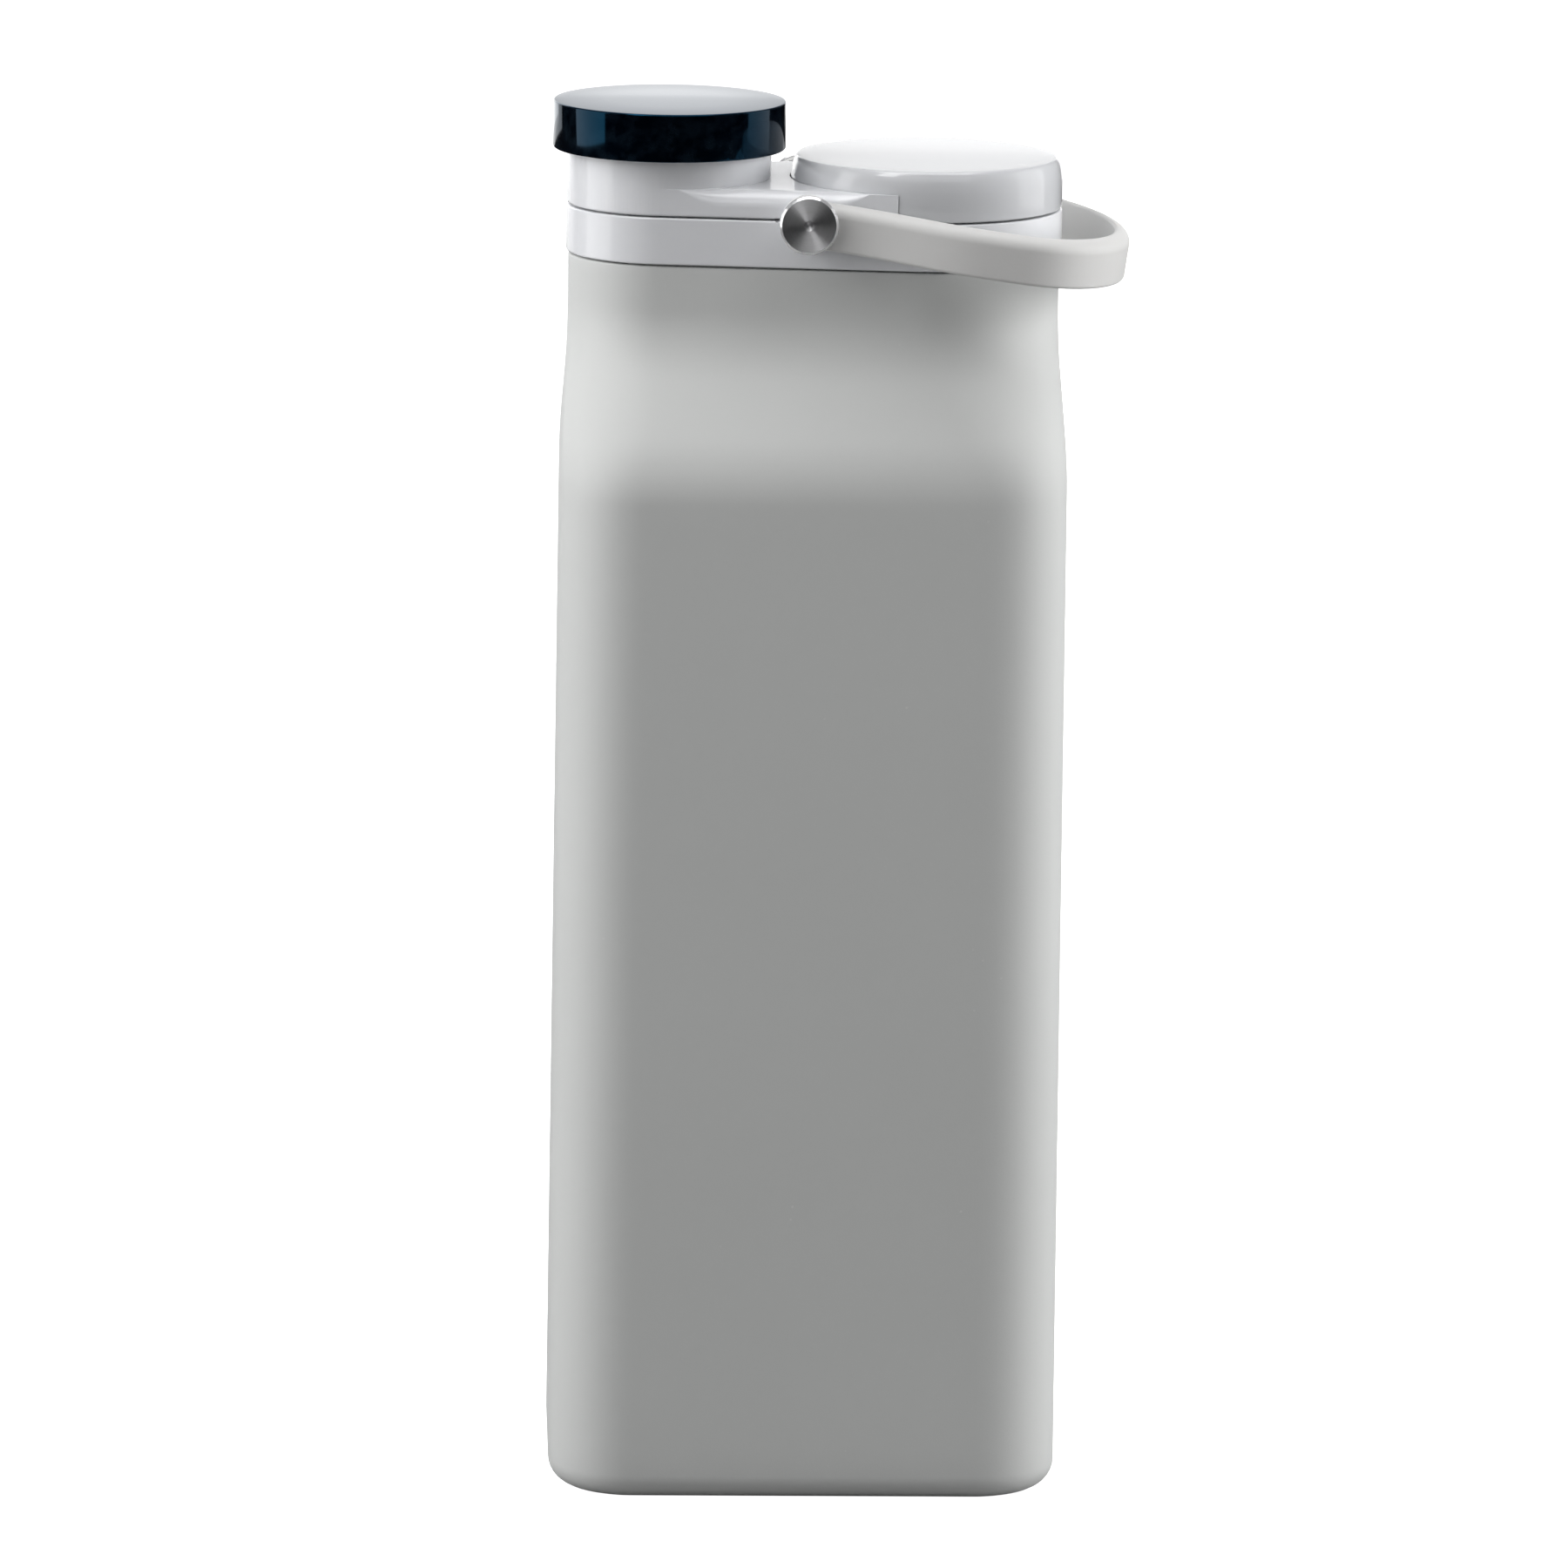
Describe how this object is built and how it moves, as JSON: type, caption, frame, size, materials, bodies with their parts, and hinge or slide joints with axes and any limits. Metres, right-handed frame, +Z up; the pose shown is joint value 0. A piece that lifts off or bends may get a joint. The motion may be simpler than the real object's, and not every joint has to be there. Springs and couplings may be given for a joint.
{
  "type": "collapsible water bottle",
  "caption": "Soft silicone water bottle with a rigid collar, a drinking cap, a wide filling lid and a swinging carry strap; the body folds flat.",
  "frame": {"origin": "centre of the flat base on the floor, under the middle of the head", "axes": "+Z up, -Y towards the front pivot disc, +X towards the filling lid and the strap's loop"},
  "size_m": [0.0888, 0.056, 0.2151],
  "materials": {
    "body_silicone": "matte, soft, fine satin grain",
    "head_plastic": "glossy white moulding",
    "lid_plastic": "glossy white moulding",
    "cap_plastic": "high gloss navy moulding",
    "inner_plastic": "natural moulded white",
    "seal_silicone": "clear soft silicone",
    "strap_silicone": "warm light grey, satin",
    "pivot_steel": "spun face, polished rim",
    "insert_brass": "plain turned brass",
    "bearing_nylon": "natural nylon"
  },
  "bodies": {
    "head": {"shoulder": "head_plastic", "collar_band": "head_plastic", "clamp_ring": "inner_plastic", "silicone_sleeve": "body_silicone", "pivot_insert_front": "insert_brass", "pivot_insert_back": "insert_brass", "pivot_washer_front": "bearing_nylon", "pivot_washer_back": "bearing_nylon", "pivot_screw_front": "pivot_steel", "pivot_screw_back": "pivot_steel"},
    "base": {"silicone_base": "body_silicone"},
    "strap": {"carry_strap": "strap_silicone", "pivot_bush_front": "bearing_nylon", "pivot_bush_back": "bearing_nylon"},
    "drink_seal": {"drink_cap_seal": "seal_silicone"},
    "drink_cap": {"drink_cap_shell": "cap_plastic", "drink_cap_core": "inner_plastic"},
    "fill_seal": {"fill_lid_seal": "seal_silicone"},
    "fill_lid": {"fill_lid_shell": "lid_plastic", "fill_lid_core": "inner_plastic"}
  },
  "joints": [
    {"name": "collapse", "type": "slide", "parent": "head", "child": "base", "axis": [0, 0, 1], "range_m": [0, 0.135], "stiffness_N_per_m": 200, "springref_m": -0.02, "deforming": ["silicone_sleeve"]},
    {"name": "strap_swing", "type": "hinge", "parent": "head", "child": "strap", "pos_m": [-0.0016, 0, 0.199], "axis": [0, -1, 0], "range_deg": [0, 196]},
    {"name": "drink_cap_lift", "type": "slide", "parent": "head", "child": "drink_seal", "axis": [0, 0, 1], "range_m": [0, 0.006]},
    {"name": "drink_cap_turn", "type": "hinge", "parent": "drink_seal", "child": "drink_cap", "pos_m": [-0.0224, 0, 0.2076], "axis": [0, 0, 1], "range_deg": [0, 540]},
    {"name": "fill_lid_lift", "type": "slide", "parent": "head", "child": "fill_seal", "axis": [0, 0, 1], "range_m": [0, 0.006]},
    {"name": "fill_lid_turn", "type": "hinge", "parent": "fill_seal", "child": "fill_lid", "pos_m": [0.0172, 0, 0.19915], "axis": [0, 0, 1], "range_deg": [0, 540]}
  ],
  "couplings": [
    {"joint": "drink_cap_lift", "follows": "drink_cap_turn", "m_per_rad": 0.00063662},
    {"joint": "fill_lid_lift", "follows": "fill_lid_turn", "m_per_rad": 0.00063662}
  ]
}
